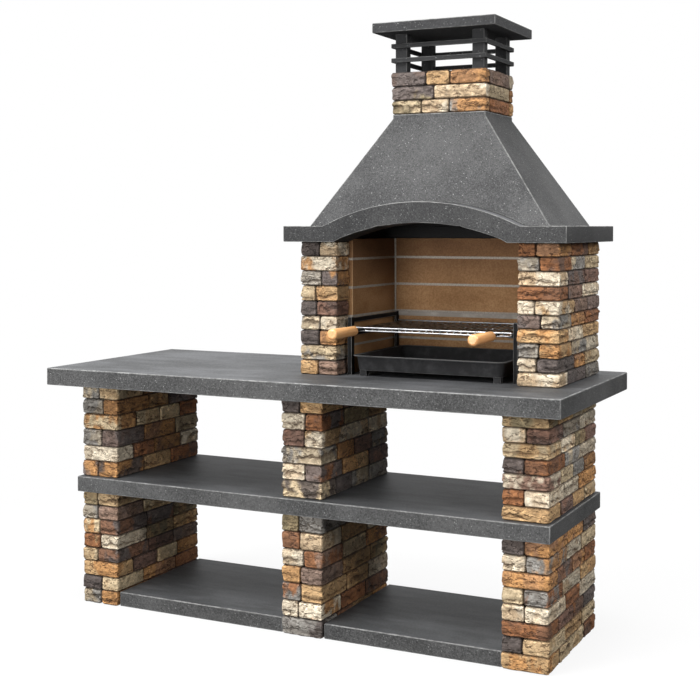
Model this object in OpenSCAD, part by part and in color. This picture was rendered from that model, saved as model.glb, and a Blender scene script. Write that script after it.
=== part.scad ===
// Masonry barbecue with a stone stand, a worktop, an arched hood and a louvred chimney.
// Millimetres. X runs along the worktop, +Y goes to the back and +Z up.
// The origin is on the floor, under the middle of the worktop.

/* [Stand] */
// Width of each stone pier
pier_w = 165; // [140:1:190]
// Depth of each stone pier
pier_d = 563; // [460:1:620]
// Clear width of the left bay
bay_left_w = 708; // [600:1:800]
// Clear width of the right bay, under the fireplace
bay_right_w = 655; // [600:1:720]
// Height of the piers under the middle shelf
lower_h = 429; // [360:1:480]
// Height of the piers between the middle shelf and the worktop
upper_h = 358; // [300:1:420]
// Courses of stone in the lower piers: left, middle, right
lower_courses = [8, 7, 8]; // [5:1:10]
// Courses of stone in the upper piers: left, middle, right
upper_courses = [6, 6, 7]; // [4:1:8]

/* [Stones] */
// Usual length of a stone along a wall
stone_l = 165; // [120:1:220]
// Dry joint between neighbouring stones
stone_joint = 0.6; // [0.4:0.1:0.9]
// Worn bevel on the edges of a stone
stone_bevel = 4; // [2:0.5:6]
// Most that a split face stands back from the wall line
face_play = 2.5; // [0:0.5:4]
// Most that a joint wanders, as a share of a stone
joint_wander = 0.16; // [0:0.01:0.22]
// Most that the height of a course differs from the average
course_play = 2; // [0:0.5:3]
// Length of a stone that lies across the front of a wall, from front to back
head_l = 119; // [90:1:140]
// Most that this length differs from one course to the next
head_play = 20; // [0:1:30]
// Most that the joint behind the front of a wall wanders off the middle
split_play = 14; // [0:1:20]

/* [Slabs] */
// Thickness of the slabs on the floor of the bays
base_slab_t = 54; // [40:1:70]
// How far the base slabs stand back from the front of the piers
base_slab_setback = 14; // [0:1:40]
// Thickness of the middle shelf
shelf_t = 58; // [45:1:75]
// Overhang of the middle shelf in front of the piers and behind them
shelf_over_y = 20; // [5:1:40]
// Overhang of the middle shelf at its ends
shelf_over_x = 8; // [2:1:30]
// Thickness of the worktop
worktop_t = 64; // [50:1:80]
// Overhang of the worktop in front of the piers
worktop_front = 119; // [80:1:140]
// Overhang of the worktop behind the piers
worktop_back = 148; // [125:1:170]
// Overhang of the worktop at its ends
worktop_end = 72; // [40:1:110]
// Bevel along the edges of every slab
slab_bevel = 3; // [1:0.5:6]

/* [Columns] */
// Width of each column beside the fire
column_w = 150; // [125:1:160]
// Depth of the columns
column_d = 497; // [460:1:510]
// Height of the columns
column_h = 479; // [440:1:540]
// How far the columns stand back from the front of the piers
column_setback = 129; // [100:1:160]
// Courses of stone in the left and right columns
column_courses = [9, 10]; // [6:1:12]
// Depth of the column stones in front of the lining
lining_setback = 108; // [80:1:130]

/* [Lining] */
// Thickness of the side boards of firebrick
lining_t = 25; // [20:1:30]
// Thickness of the back boards of firebrick
lining_back_t = 15; // [12:1:25]
// How far the side boards stand out from the column stones
lining_proud = 10; // [6:1:18]
// Height of a full row of firebrick boards, with the top row cut to what is left
lining_row_h = 104; // [80:1:125]
// How far the lining rises into the hood
lining_rise = 10; // [2:1:14]
// Width of the bevel at each joint of the lining
lining_bevel = 2.5; // [1:0.5:4]
// Thickness of the rear panel
rear_panel_t = 30; // [20:1:34]
// Lap of the rear panel over the back of each column
rear_panel_lap = 40; // [20:1:70]

/* [Hood] */
// Thickness of the visor slab under the hood
visor_t = 56; // [45:1:70]
// Overhang of the visor at the sides of the columns
visor_side = 38; // [25:1:60]
// Overhang of the visor in front of the columns
visor_front = 54; // [40:1:70]
// Overhang of the visor behind the columns
visor_back = 36; // [35:1:50]
// Gap between the lining and the sides of the opening in the visor
visor_gap = 2; // [1:0.5:5]
// Half width of the arched mouth at the underside of the visor
arch_half = 328; // [300:1:332]
// Rise of the arched mouth
arch_rise = 67; // [50:1:90]
// Half width of the arched brow where it leaves the visor
brow_half = 364; // [340:1:390]
// Rise of the arched brow above the visor
brow_rise = 84; // [70:1:110]
// Setback of the hood from the sides of the visor
hood_side_in = 75; // [60:1:100]
// Setback of the hood from the front of the visor
hood_front_in = 62; // [50:1:80]
// Setback of the hood from the back of the visor
hood_back_in = 41; // [30:1:60]
// Height of the sloping part of the hood
hood_h = 385; // [320:1:460]
// Height of the upright neck on the hood
neck_h = 15; // [8:1:40]
// Wall of the hood at its foot, measured level
hood_wall = 45; // [35:1:55]
// Mortar gap between the hood and the arched brow
brow_gap = 0.3; // [0.2:0.1:1]

/* [Chimney] */
// How far the chimney stands behind the middle of the hood
collar_shift = 25; // [0:1:50]
// Width of the stone collar
collar_w = 362; // [330:1:400]
// Depth of the stone collar
collar_d = 295; // [270:1:320]
// Height of the stone collar
collar_h = 150; // [120:1:200]
// Courses of stone in the collar
collar_courses = 3; // [2:1:4]
// Stones along the front and back of the collar, in its first course and in its second
collar_stones = [3, 2]; // [2:1:4]
// Thickness of the collar stones
collar_stone_t = 45; // [35:1:55]
// Wall of the flue block inside the collar
flue_wall = 25; // [20:1:30]
// Setback of the neck under the collar stones
neck_in = 5; // [2:1:10]
// Height of the posts that carry the cap
post_h = 138; // [110:1:180]
// Width of a post
post_w = 45; // [35:1:55]
// Depth of a post
post_d = 35; // [28:1:45]
// Thickness of a louvre slat
slat_t = 12; // [8:1:16]
// Height of a louvre slat
slat_h = 16; // [12:1:22]
// Bevel along the edges of a louvre slat
slat_bevel = 1.5; // [0.5:0.5:3]
// Rows of louvre slats
slat_rows = 2; // [1:1:3]
// Thickness of the chimney cap
cap_t = 35; // [28:1:50]
// Overhang of the cap at its sides
cap_side = 51; // [35:1:70]
// Overhang of the cap in front and behind
cap_front = 52; // [40:1:80]

/* [Grill stand] */
// Height of the steel uprights
stand_h = 207; // [190:1:230]
// Gap between the uprights and the lining, to the side
stand_gap = 5; // [3:1:12]
// Width of the front leg of each angle upright
angle_front = 15; // [14:1:24]
// Depth of the side leg of each angle upright
angle_side = 25; // [18:1:32]
// Thickness of the steel
steel_t = 3; // [2:0.5:4]
// How far the stand stands back from the front of the columns
stand_setback = 58; // [50:1:70]
// Gap between the stand and the back of the lining
stand_back_gap = 6; // [3:1:14]
// How far the upper rail lies below the top of the uprights
rail_drop = 2; // [0:1:8]
// Height of the rail bars
rail_h = 16; // [12:1:24]
// How far the rails reach in under the grill
rail_in = 18; // [14:1:24]
// Height of the grill rail above the worktop
rail_z = 157; // [130:1:165]

/* [Grill] */
// Gap between the grill and the uprights at each side
grill_gap = 4; // [2:0.5:8]
// How far the grill reaches in front of the stand
grill_reach = 7; // [4:1:12]
// Gap behind the grill at rest
grill_back_gap = 9; // [6:1:20]
// Diameter of the rim and cross rods
rod_d = 6; // [5:0.5:8]
// Diameter of the grill bars
bar_d = 5; // [4:0.5:6]
// Number of grill bars
bar_count = 24; // [18:1:30]
// Bend of the rim rod at its corners
rim_bend = 12; // [8:1:20]
// Height of the grill above its rail, at rest
slide_gap = 0.3; // [0.2:0.1:0.5]
// Gap at each weld
weld_gap = 0.05; // [0.02:0.01:0.1]
// Distance of each handle from the middle of the grill
handle_x = 255; // [200:1:270]
// Diameter of the wooden handles at their free end
handle_d = 38; // [34:1:42]
// Diameter of the wooden handles at the end towards the grill
handle_neck_d = 31; // [26:1:34]
// Length of the wooden handles
handle_l = 178; // [150:1:210]
// Rounding at the ends of the handles
handle_round = 9; // [5:1:14]
// Steel rod that shows between a handle and the grill
handle_reach = 73; // [60:1:90]
// Diameter of the handle rods
handle_rod_d = 8; // [6:0.5:10]
// Depth of the hole in a handle
handle_hole = 80; // [50:1:110]
// Air between the end of a handle rod and the bottom of its hole
handle_hole_end = 2; // [1:1:6]
// Clearance of a handle rod in its hole
handle_fit = 0.05; // [0.03:0.01:0.1]

/* [Fire tray] */
// Gap between the rim of the tray and the uprights at each side
tray_gap = 14; // [8:1:30]
// How far the rim of the tray stands in front of the stand
tray_reach = 40; // [20:1:50]
// Gap between the rim of the tray and the back of the lining
tray_back_gap = 10; // [6:1:30]
// Height of the rim of the tray above the worktop
tray_z = 75; // [60:1:90]
// Width of the turned rim of the tray
tray_rim = 12; // [8:1:20]
// Thickness of the turned rim of the tray
tray_rim_t = 4; // [3:0.5:6]
// Taper of the tray walls
tray_taper = 8; // [4:1:16]
// Radius of the upright corners of the tray at its floor
tray_corner = 18; // [8:1:40]
// Thickness of the tray steel
tray_t = 2; // [1.5:0.5:3]
// Height of the feet under the tray
foot_h = 21; // [14:1:30]
// Width of a tray foot
foot_w = 26; // [20:1:34]
// Depth of a tray foot
foot_d = 24; // [16:1:34]
// Steel of a tray foot
foot_t = 2.5; // [2:0.5:4]
// Setback of the feet from the edges of the tray floor
foot_in = 6; // [4:1:20]

/* [Hidden] */
$fn = 64;
// Past a face that is cut, so that no skin is left
over = 1;
// Thickness of the slices that a sloping form spans
skin = 0.01;
// Stones are cut to whole steps, so that they meet what lies on them without a sliver
saw_step = 0.01;

concrete = "#4b4c4e";
dark_concrete = "#363739";
firebrick = "#b98a5c";
black_steel = "#1c1c1d";
bright_steel = "#c9ccd0";
beech = "#cf9a5f";
stone_tones = ["#d8c6a8", "#c2a078", "#b5763f", "#8f5b45", "#85746c", "#6a6563", "#a58a6b",
               "#cdb592"];

// Courses whose front is one stone across, counted from the bottom
lower_across = [[2], [0], [0, 2, 5]];
upper_across = [[1, 3], [0, 2], [0, 2, 4, 6]];
column_across = [[1, 7], [0, 3, 6, 7]];

// Seeds of the chances that shape each kind of wall
lower_seed = 11;
upper_seed = 21;
column_seed = 31;
collar_seed = 41;

// Stand, from left to right and from front to back
stand_w = 3 * pier_w + bay_left_w + bay_right_w;
worktop_w = stand_w + 2 * worktop_end;
worktop_d = pier_d + worktop_front + worktop_back;
pier_front = worktop_front - worktop_d / 2;
pier_back = pier_front + pier_d;
pier_x = [-stand_w / 2, -stand_w / 2 + pier_w + bay_left_w, stand_w / 2 - pier_w];
shelf_z = lower_h;
upper_z = shelf_z + shelf_t;
worktop_z = upper_z + upper_h;
fire_z = worktop_z + worktop_t;

// Columns stand on the middle and right piers
column_x = [for (i = [1, 2]) pier_x[i] + (pier_w - column_w) / 2];
column_front = pier_front + column_setback;
column_back = column_front + column_d;
fire_x = (column_x[0] + column_w + column_x[1]) / 2;
fire_half = (column_x[1] - column_x[0] - column_w) / 2;
lining_half = fire_half - lining_proud;
lining_recess = lining_t - lining_proud;
lining_front = column_front + lining_setback;
lining_back = column_back - lining_back_t;
visor_z = fire_z + column_h;

// Hood, centred over the fire
visor_half = fire_half + column_w + visor_side;
visor_y = [column_front - visor_front, column_back + visor_back];
hood_z = visor_z + visor_t;
hood_half = visor_half - hood_side_in;
hood_y = [visor_y[0] + hood_front_in, visor_y[1] - hood_back_in];
neck_z = hood_z + hood_h;
collar_z = neck_z + neck_h;
collar_y0 = (hood_y[0] + hood_y[1]) / 2 + collar_shift - collar_d / 2;
neck_half = collar_w / 2 - neck_in;
neck_y = [collar_y0 + neck_in, collar_y0 + collar_d - neck_in];
flue_out = [collar_w - 2 * collar_stone_t, collar_d - 2 * collar_stone_t];
flue_in = [flue_out[0] - 2 * flue_wall, flue_out[1] - 2 * flue_wall];
flue_y0 = collar_y0 + collar_stone_t + flue_wall;
post_z = collar_z + collar_h;
cap_z = post_z + post_h;

// The brow reaches back until it is through the sloping wall of the hood
cavity_y0 = hood_y[0] + hood_wall;
cavity_lean = (flue_y0 - cavity_y0) / (hood_h + neck_h);
brow_back = cavity_y0 + brow_rise * cavity_lean;
arch_r = (arch_half * arch_half + arch_rise * arch_rise) / (2 * arch_rise);
brow_r = (brow_half * brow_half + brow_rise * brow_rise) / (2 * brow_rise);

// Steel stand, grill and tray
stand_half = lining_half - stand_gap - angle_front;
stand_front = column_front + stand_setback;
stand_back = lining_back - stand_back_gap;
rail_top = fire_z + rail_z;
upper_rail_z = fire_z + stand_h - rail_drop - rail_h;
grill_half = stand_half - grill_gap;
grill_front = stand_front - grill_reach;
grill_back = stand_back - grill_back_gap;
rim_z = rail_top + slide_gap + rod_d / 2;
bar_z = rim_z + rod_d / 2 + bar_d / 2 + weld_gap;
clamp_z = bar_z + bar_d / 2 + rod_d / 2 + weld_gap;
tray_half = stand_half - tray_gap;
tray_y = [stand_front - tray_reach, lining_back - tray_back_gap];
tray_floor_z = fire_z + foot_h;

// One of a run of steady chances between -1 and 1
function chance(seed, i) = rands(-1, 1, i + 1, seed)[i];

// Joints along a row of stones, the ends included
function row_cuts(from, to, seed) =
    let (count = max(1, round((to - from) / stone_l)), pitch = (to - from) / count)
    [for (i = [0:count])
        i == 0 || i == count ? from + i * pitch
        : from + pitch * (i + joint_wander * chance(seed, i))];

// Bed joints of a wall, the ends included
function bed_joints(z, h, courses, seed) =
    [for (i = [0:courses])
        i == 0 || i == courses ? z + i * h / courses
        : z + i * h / courses + course_play * chance(seed, i)];

// Rectangle with its corners cut
module bevelled_rect(w, d, bevel) {
    polygon([[bevel, 0], [w - bevel, 0], [w, bevel], [w, d - bevel],
             [w - bevel, d], [bevel, d], [0, d - bevel], [0, bevel]]);
}

// Box with every edge bevelled, from its low corner
module bevelled_box(size, bevel) {
    intersection() {
        linear_extrude(size[2]) bevelled_rect(size[0], size[1], bevel);
        translate([0, size[1], 0]) rotate([90, 0, 0])
            linear_extrude(size[1]) bevelled_rect(size[0], size[2], bevel);
        rotate([90, 0, 90])
            linear_extrude(size[0]) bevelled_rect(size[1], size[2], bevel);
    }
}

// Slab between two corners
module slab(low, high) {
    translate(low) bevelled_box(high - low, slab_bevel);
}

// Corner of a stone, brought to the nearest step
function sawn(corner) = [for (a = corner) round(a / saw_step) * saw_step];

// Split stone in its space. x, y and z each give the two ends of the space.
// play gives how far the stone stands back from x[0], y[0], x[1] and y[1].
module stone(x, y, z, play, seed) {
    tone = stone_tones[floor((chance(seed, 7) + 1) / 2 * len(stone_tones)) % len(stone_tones)];
    low = sawn([x[0] + play[0], y[0] + play[1], z[0]]);
    high = sawn([x[1] - play[2], y[1] - play[3], z[1]]);
    color(tone) translate(low) bevelled_box(high - low, stone_bevel);
}

// How far one side of a stone stands back: half a joint inside the wall, its own amount outside
function set_back(outside, seed, i) =
    outside ? face_play * (chance(seed, i) + 1) / 2 : stone_joint / 2;

// Row of stones along Y between x[0] and x[1]. low_out and high_out say which sides face out.
module stone_row(x, cuts, z, low_out, high_out, seed) {
    last = len(cuts) - 2;
    for (i = [0:last])
        stone(x, [cuts[i], cuts[i + 1]], z,
              [set_back(low_out, seed + i, 1), set_back(i == 0, seed + i, 2),
               set_back(high_out, seed + i, 3), set_back(i == last, seed + i, 4)], seed + i);
}

// Height that a course of stones fills between its bed joints
function course_space(beds, c) =
    [beds[c] + (c == 0 ? 0 : stone_joint / 2),
     beds[c + 1] - (c == len(beds) - 2 ? 0 : stone_joint / 2)];

// Solid stone wall, two rows of stones wide. The courses in across start with one stone across.
// notch gives how much the rear of the right-hand row is cut back, and where that starts.
module stone_wall(x0, y0, z0, w, d, h, courses, across, seed, notch = [0, 0]) {
    beds = bed_joints(z0, h, courses, seed);
    notched = notch[0] > 0;
    for (c = [0:courses - 1]) {
        z = course_space(beds, c);
        s = seed * 100 + c * 10;
        middle = x0 + w / 2 + split_play * chance(s, 1);
        head = notched ? notch[1] : head_l + head_play * chance(s, 2);
        is_across = len([for (a = across) if (a == c) a]) > 0;
        if (is_across)
            stone([x0, x0 + w], [y0, y0 + head], z,
                  [set_back(true, s, 3), set_back(true, s, 4), set_back(true, s, 5),
                   stone_joint / 2], s);
        rows_y0 = is_across ? y0 + head : y0;
        stone_row([x0, middle], row_cuts(rows_y0, y0 + d, s + 1), z, true, false, s + 1);
        if (notched) {
            if (!is_across)
                stone([middle, x0 + w], [y0, y0 + head], z,
                      [stone_joint / 2, set_back(true, s, 4), set_back(true, s, 5),
                       stone_joint / 2], s + 5);
            stone_row([middle, x0 + w - notch[0]], row_cuts(y0 + head, y0 + d, s + 6), z,
                      false, false, s + 6);
        } else {
            stone_row([middle, x0 + w], row_cuts(rows_y0, y0 + d, s + 6), z,
                      false, true, s + 6);
        }
    }
}

// Block with sloping sides: x and y give the ends at the bottom, x_top and y_top at the top
module tapered_block(x, y, x_top, y_top, z, h) {
    reach_x = [min(x[0], x_top[0]), max(x[1], x_top[1])];
    reach_y = [min(y[0], y_top[0]), max(y[1], y_top[1])];
    intersection() {
        translate([0, reach_y[1], z]) rotate([90, 0, 0]) linear_extrude(reach_y[1] - reach_y[0])
            polygon([[x[0], 0], [x[1], 0], [x_top[1], h], [x_top[0], h]]);
        translate([reach_x[0], 0, z]) rotate([90, 0, 90]) linear_extrude(reach_x[1] - reach_x[0])
            polygon([[y[0], 0], [y[1], 0], [y_top[1], h], [y_top[0], h]]);
    }
}

// Rod along Y or X from a point
module rod_y(x, y0, y1, z, d) {
    translate([x, y0, z]) rotate([-90, 0, 0]) cylinder(d = d, h = y1 - y0);
}

module rod_x(x0, x1, y, z, d) {
    translate([x0, y, z]) rotate([0, 90, 0]) cylinder(d = d, h = x1 - x0);
}

// Puts what is drawn for the right of the fire there, or on its left when side is -1
module beside_fire(side) {
    translate([fire_x, 0, 0])
        if (side < 0)
            mirror([1, 0, 0]) children();
        else
            children();
}

// Slab on the floor of a bay
module base_slab(x0, w) {
    color(concrete)
        slab([x0 + stone_joint / 2, pier_front + base_slab_setback, 0],
             [x0 + w - stone_joint / 2, pier_back, base_slab_t]);
}

module base_slab_left() {
    base_slab(pier_x[0] + pier_w, bay_left_w);
}

module base_slab_right() {
    base_slab(pier_x[1] + pier_w, bay_right_w);
}

// Piers under the middle shelf and above it, counted from the left
module lower_pier(i) {
    stone_wall(pier_x[i], pier_front, 0, pier_w, pier_d, lower_h, lower_courses[i],
               lower_across[i], lower_seed + i);
}

module upper_pier(i) {
    stone_wall(pier_x[i], pier_front, upper_z, pier_w, pier_d, upper_h, upper_courses[i],
               upper_across[i], upper_seed + i);
}

module pier_left_lower() {
    lower_pier(0);
}

module pier_middle_lower() {
    lower_pier(1);
}

module pier_right_lower() {
    lower_pier(2);
}

module pier_left_upper() {
    upper_pier(0);
}

module pier_middle_upper() {
    upper_pier(1);
}

module pier_right_upper() {
    upper_pier(2);
}

module middle_shelf() {
    color(concrete)
        slab([-stand_w / 2 - shelf_over_x, pier_front - shelf_over_y, shelf_z],
             [stand_w / 2 + shelf_over_x, pier_back + shelf_over_y, upper_z]);
}

module worktop() {
    color(concrete)
        slab([-worktop_w / 2, -worktop_d / 2, worktop_z],
             [worktop_w / 2, worktop_d / 2, fire_z]);
}

// Column from its outer side at x, with its inner row cut back for the firebrick
module column(x, i) {
    stone_wall(x, column_front, fire_z, column_w, column_d, column_h, column_courses[i],
               column_across[i], column_seed + i, [lining_recess, lining_setback]);
}

module column_left() {
    column(column_x[0], 0);
}

module column_right() {
    mirror([1, 0, 0]) column(-column_x[1] - column_w, 1);
}

// Panel that closes the back, lapped over the rear of both columns
module rear_panel() {
    lap = fire_half + rear_panel_lap;
    color(concrete)
        slab([fire_x - lap, column_back, fire_z],
             [fire_x + lap, column_back + rear_panel_t, visor_z]);
}

// Firebrick boards, one above the other
module board_stack(low, size) {
    h = column_h + lining_rise;
    rows = max(1, round(h / lining_row_h));
    for (i = [0:rows - 1]) {
        top = i == rows - 1 ? h : (i + 1) * lining_row_h;
        translate([low[0], low[1], fire_z + i * lining_row_h])
            bevelled_box([size[0], size[1], top - i * lining_row_h - stone_joint],
                         lining_bevel);
    }
}

module firebrick_back() {
    color(firebrick)
        board_stack([fire_x - lining_half + stone_joint, lining_back],
                    [2 * (lining_half - stone_joint), lining_back_t]);
}

module firebrick_side(side) {
    color(firebrick) beside_fire(side)
        board_stack([lining_half, lining_front], [lining_t, column_back - lining_front]);
}

module firebrick_left() {
    firebrick_side(-1);
}

module firebrick_right() {
    firebrick_side(1);
}

// Round prism along Y, whose top is rise above the level z
module arch_prism(r, rise, y0, y1, z) {
    translate([fire_x, y0, z + rise - r]) rotate([-90, 0, 0])
        cylinder(r = r, h = y1 - y0, $fn = 180);
}

// Arched brow above the visor; grow is the clearance round it
module brow(grow) {
    intersection() {
        arch_prism(brow_r + grow, brow_rise + grow, visor_y[0] - grow, brow_back + grow, hood_z);
        translate([fire_x - brow_half - over, visor_y[0] - over, hood_z - over])
            cube([2 * (brow_half + over), brow_back - visor_y[0] + 2 * over,
                  brow_rise + 2 * over]);
    }
}

// Visor slab with the arched brow over the mouth of the fire. The lining ends in the low step at
// the back of its opening, and the foot of the hood stands on the ledge above that step
module hood_visor() {
    hole_half = lining_half + lining_t + visor_gap;
    ledge_z = visor_z + lining_rise + visor_gap;
    color(concrete) difference() {
        union() {
            slab([fire_x - visor_half, visor_y[0], visor_z],
                 [fire_x + visor_half, visor_y[1], hood_z]);
            brow(0);
        }
        arch_prism(arch_r, arch_rise, visor_y[0] - over, brow_back + over, visor_z);
        translate([fire_x - hole_half, brow_back, visor_z - over])
            cube([2 * hole_half, hood_y[1] - hood_wall - brow_back, visor_t + 2 * over]);
        translate([fire_x - hole_half, brow_back, visor_z - over])
            cube([2 * hole_half, column_back + visor_gap - brow_back, ledge_z - visor_z + over]);
    }
}

// Hollow sloping hood with an upright neck, notched over the brow
module hood_pyramid() {
    flue_half = flue_in[0] / 2;
    color(concrete) difference() {
        union() {
            tapered_block([fire_x - hood_half, fire_x + hood_half], hood_y,
                          [fire_x - neck_half, fire_x + neck_half], neck_y, hood_z, hood_h);
            translate([fire_x - neck_half, neck_y[0], neck_z - over])
                cube([2 * neck_half, neck_y[1] - neck_y[0], neck_h + over]);
        }
        tapered_block([fire_x - hood_half + hood_wall, fire_x + hood_half - hood_wall],
                      [cavity_y0, hood_y[1] - hood_wall],
                      [fire_x - flue_half, fire_x + flue_half], [flue_y0, flue_y0 + flue_in[1]],
                      hood_z - over, hood_h + neck_h + 2 * over);
        brow(brow_gap);
    }
}

// Flue block that the collar stones stand round
module chimney_flue() {
    color(concrete) translate([fire_x - flue_out[0] / 2, collar_y0 + collar_stone_t, collar_z])
        difference() {
            cube([flue_out[0], flue_out[1], collar_h]);
            translate([flue_wall, flue_wall, -over])
                cube([flue_in[0], flue_in[1], collar_h + 2 * over]);
        }
}

// Row of collar stones along X
module collar_row(x, y, z, pieces, seed) {
    pitch = (x[1] - x[0]) / pieces;
    gap = stone_joint / 2;
    cuts = [for (i = [0:pieces])
        x[0] + pitch * (i + (i == 0 || i == pieces ? 0 : joint_wander * chance(seed, i)))];
    for (i = [0:pieces - 1])
        stone([cuts[i], cuts[i + 1]], y, z, [gap, gap, gap, gap], seed + i);
}

// Collar of stones in courses: front and back rows, with side rows between them
module chimney_collar() {
    beds = bed_joints(collar_z, collar_h, collar_courses, collar_seed);
    x = [fire_x - collar_w / 2, fire_x + collar_w / 2];
    y = [collar_y0, collar_y0 + collar_d];
    for (c = [0:collar_courses - 1]) {
        z = course_space(beds, c);
        s = collar_seed * 100 + 20 * c;
        pieces = collar_stones[c % 2];
        collar_row(x, [y[0], y[0] + collar_stone_t], z, pieces, s);
        collar_row(x, [y[1] - collar_stone_t, y[1]], z, pieces, s + 4);
        side_cuts = row_cuts(y[0] + collar_stone_t, y[1] - collar_stone_t, s + 8);
        stone_row([x[0], x[0] + collar_stone_t], side_cuts, z, false, false, s + 8);
        stone_row([x[1] - collar_stone_t, x[1]], side_cuts, z, false, false, s + 12);
    }
}

// Posts that carry the cap, set in by the thickness of the slats
module chimney_posts() {
    color(dark_concrete)
        for (x = [fire_x - collar_w / 2 + slat_t, fire_x + collar_w / 2 - slat_t - post_w])
            for (y = [collar_y0 + slat_t, collar_y0 + collar_d - slat_t - post_d])
                translate([x, y, post_z]) cube([post_w, post_d, post_h]);
}

// Slats of one side of the chimney, from the low corner of that side
module slats(x, y, w, d) {
    space = (post_h - slat_rows * slat_h) / (slat_rows + 1);
    color(dark_concrete)
        for (i = [0:slat_rows - 1])
            translate([x, y, post_z + space + i * (space + slat_h)])
                bevelled_box([w, d, slat_h], slat_bevel);
}

module louvre_front() {
    slats(fire_x - collar_w / 2, collar_y0, collar_w, slat_t);
}

module louvre_back() {
    slats(fire_x - collar_w / 2, collar_y0 + collar_d - slat_t, collar_w, slat_t);
}

module louvre_left() {
    slats(fire_x - collar_w / 2, collar_y0 + slat_t, slat_t, collar_d - 2 * slat_t);
}

module louvre_right() {
    slats(fire_x + collar_w / 2 - slat_t, collar_y0 + slat_t, slat_t, collar_d - 2 * slat_t);
}

module chimney_cap() {
    half = collar_w / 2 + cap_side;
    color(dark_concrete)
        slab([fire_x - half, collar_y0 - cap_front, cap_z],
             [fire_x + half, collar_y0 + collar_d + cap_front, cap_z + cap_t]);
}

// Angle upright of the grill stand, its heel at the inner front corner
module angle_upright() {
    cube([angle_front, steel_t, stand_h]);
    cube([steel_t, angle_side, stand_h]);
}

// Side frame of the stand, drawn for the right-hand side
module grill_stand_side() {
    depth = stand_back - stand_front;
    translate([stand_half, stand_front, fire_z]) {
        angle_upright();
        translate([0, depth, 0]) mirror([0, 1, 0]) angle_upright();
        translate([0, 0, upper_rail_z - fire_z]) cube([steel_t, depth, rail_h]);
        translate([0, 0, rail_z - rail_h]) cube([steel_t, depth, rail_h]);
        translate([-rail_in, 0, rail_z - steel_t]) cube([rail_in + steel_t, depth, steel_t]);
    }
}

module grill_stand_left() {
    color(black_steel) beside_fire(-1) grill_stand_side();
}

module grill_stand_right() {
    color(black_steel) beside_fire(1) grill_stand_side();
}

module grill_stand_rear_bar() {
    color(black_steel)
        translate([fire_x - stand_half, stand_back - steel_t, upper_rail_z])
            cube([2 * stand_half, steel_t, rail_h]);
}

// Rim of the grill, one rod bent round four corners
module grill_rim() {
    r = rod_d / 2;
    x = grill_half - r;
    y0 = grill_front + r;
    y1 = grill_back - r;
    color(bright_steel) translate([fire_x, 0, 0]) {
        for (y = [y0, y1])
            rod_x(-x + rim_bend, x - rim_bend, y, rim_z, rod_d);
        for (side = [-x, x])
            rod_y(side, y0 + rim_bend, y1 - rim_bend, rim_z, rod_d);
        for (corner = [[1, 1, 0], [-1, 1, 90], [-1, -1, 180], [1, -1, 270]])
            translate([corner[0] * (x - rim_bend),
                       corner[1] > 0 ? y1 - rim_bend : y0 + rim_bend, rim_z])
                rotate([0, 0, corner[2]])
                    rotate_extrude(angle = 90) translate([rim_bend, 0]) circle(d = rod_d);
    }
}

// Rods on top of the bars, over the front and the back of the rim
module grill_clamp_rods() {
    color(bright_steel)
        for (y = [grill_front + rod_d / 2, grill_back - rod_d / 2])
            rod_x(fire_x - grill_half, fire_x + grill_half, y, clamp_z, rod_d);
}

module grill_cross_rods() {
    half = grill_half - rod_d - weld_gap;
    color(bright_steel)
        for (share = [1 / 3, 2 / 3])
            rod_x(fire_x - half, fire_x + half,
                  grill_front + share * (grill_back - grill_front), rim_z, rod_d);
}

module grill_bars() {
    first = grill_half - rod_d / 2;
    color(bright_steel)
        for (i = [0:bar_count - 1])
            rod_y(fire_x - first + 2 * first * i / (bar_count - 1), grill_front + rod_d / 2,
                  grill_back - rod_d / 2, bar_z, bar_d);
}

// Rods that carry the handles, welded to the front of the grill
module grill_handle_rods() {
    end = grill_front - weld_gap;
    color(black_steel)
        for (side = [-handle_x, handle_x])
            rod_y(fire_x + side, end - handle_reach - handle_hole + handle_hole_end, end, bar_z,
                  handle_rod_d);
}

// Turned handle with rounded ends and a blind hole, tapered along +Y from its free end
module turned_handle() {
    r = [handle_d / 2, handle_neck_d / 2];
    hole_r = handle_rod_d / 2 + handle_fit;
    rotate([-90, 0, 0]) rotate_extrude() difference() {
        intersection() {
            hull() {
                square([skin, handle_l]);
                translate([r[0] - handle_round, handle_round]) circle(r = handle_round);
                translate([r[1] - handle_round, handle_l - handle_round])
                    circle(r = handle_round);
            }
            square([handle_d, handle_l]);
        }
        translate([0, handle_l - handle_hole]) square([hole_r, handle_hole + over]);
    }
}

module handle(side) {
    color(beech)
        translate([fire_x + side * handle_x,
                   grill_front - weld_gap - handle_reach - handle_l, bar_z])
            turned_handle();
}

module handle_left() {
    handle(-1);
}

module handle_right() {
    handle(1);
}

// Outline of the tray with round corners, grown from the outline of its floor
module tray_outline(grow) {
    edge = tray_rim + tray_taper + tray_corner;
    r = tray_corner + grow;
    xs = [fire_x - tray_half + edge, fire_x + tray_half - edge];
    ys = [tray_y[0] + edge, tray_y[1] - edge];
    for (x = xs)
        for (y = ys)
            translate([x, y]) circle(r = r);
    translate([xs[0] - r, ys[0]]) square([xs[1] - xs[0] + 2 * r, ys[1] - ys[0]]);
    translate([xs[0], ys[0] - r]) square([xs[1] - xs[0], ys[1] - ys[0] + 2 * r]);
}

// Sloping form of the tray between two heights. grow gives the outline at each of them.
module tray_form(z, grow) {
    hull()
        for (i = [0, 1])
            translate([0, 0, z[i]]) linear_extrude(skin) tray_outline(grow[i]);
}

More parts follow.
